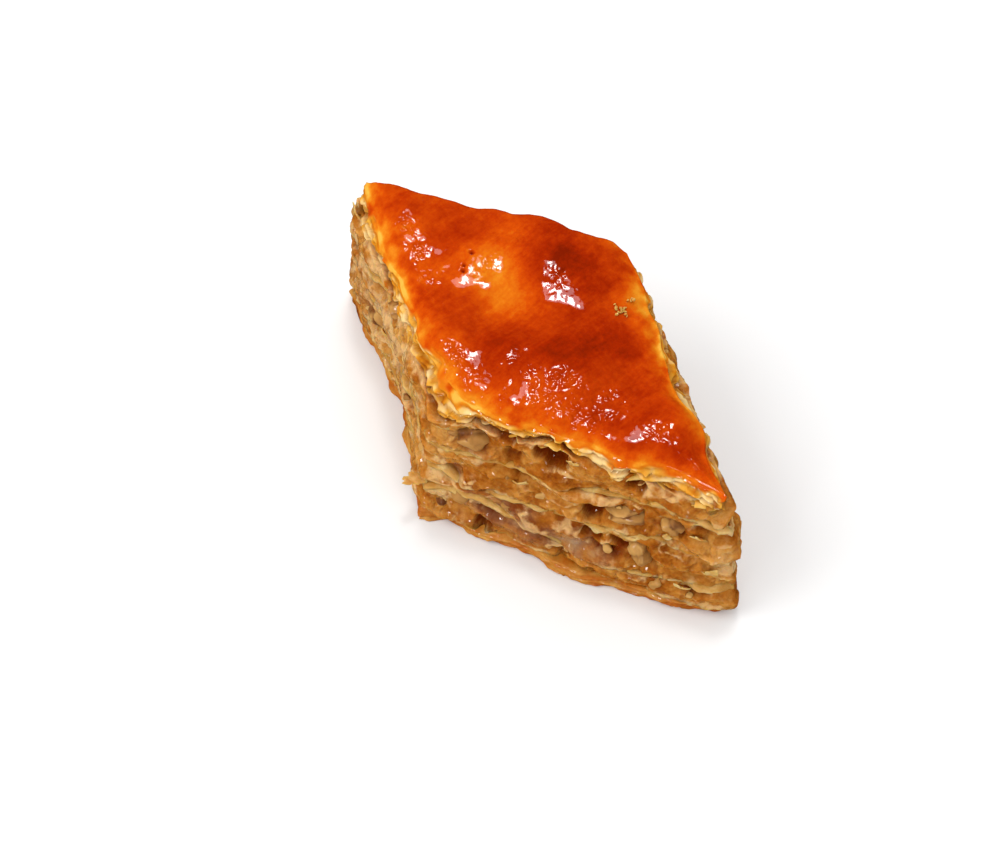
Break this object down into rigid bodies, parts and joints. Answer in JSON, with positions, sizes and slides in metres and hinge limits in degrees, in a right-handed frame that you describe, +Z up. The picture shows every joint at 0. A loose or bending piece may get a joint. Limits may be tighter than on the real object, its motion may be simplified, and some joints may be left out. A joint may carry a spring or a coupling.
{
  "type": "baklava piece",
  "caption": "Diamond-cut piece of baklava: a glazed, blistered top crust over chopped-walnut fillings between thin dough sheets, on a browned base.",
  "frame": {"origin": "middle of the piece's bounding box, on its flat underside", "axes": "+X along the diamond's long diagonal, towards the sharp corner that the front cut side runs to; +Y along the short diagonal, away from the near blunt corner; +Z up through the layers to the glazed crust"},
  "size_m": [0.1104, 0.0648, 0.0425],
  "materials": {
    "glazed_crust": "egg-glazed and syrup-soaked crust, deep orange-red, glossy and blistered",
    "dough_sheet": "soaked thin dough, creamy yellow, slightly translucent, with a torn cut edge",
    "walnut_filling": "chopped walnut, sugar and syrup, coarse and moist",
    "walnut": "broken walnut kernel, pale tan with a browner skin",
    "browned_base": "pan-browned bottom dough, orange-brown, glossy with syrup"
  },
  "bodies": {
    "root": {"base_crust": "browned_base", "walnut_filling_base": "walnut_filling", "dough_sheet_low": "dough_sheet", "walnut_filling_lower": "walnut_filling", "dough_sheet_middle": "dough_sheet", "walnut_filling_upper": "walnut_filling", "dough_sheet_high": "dough_sheet", "walnut_filling_top": "walnut_filling", "top_crust": "glazed_crust", "walnut_piece_1": "walnut", "walnut_piece_2": "walnut", "walnut_piece_3": "walnut", "walnut_piece_4": "walnut", "walnut_piece_5": "walnut", "walnut_piece_6": "walnut", "walnut_piece_7": "walnut", "walnut_piece_8": "walnut", "walnut_piece_9": "walnut", "walnut_piece_10": "walnut"}
  },
  "joints": []
}
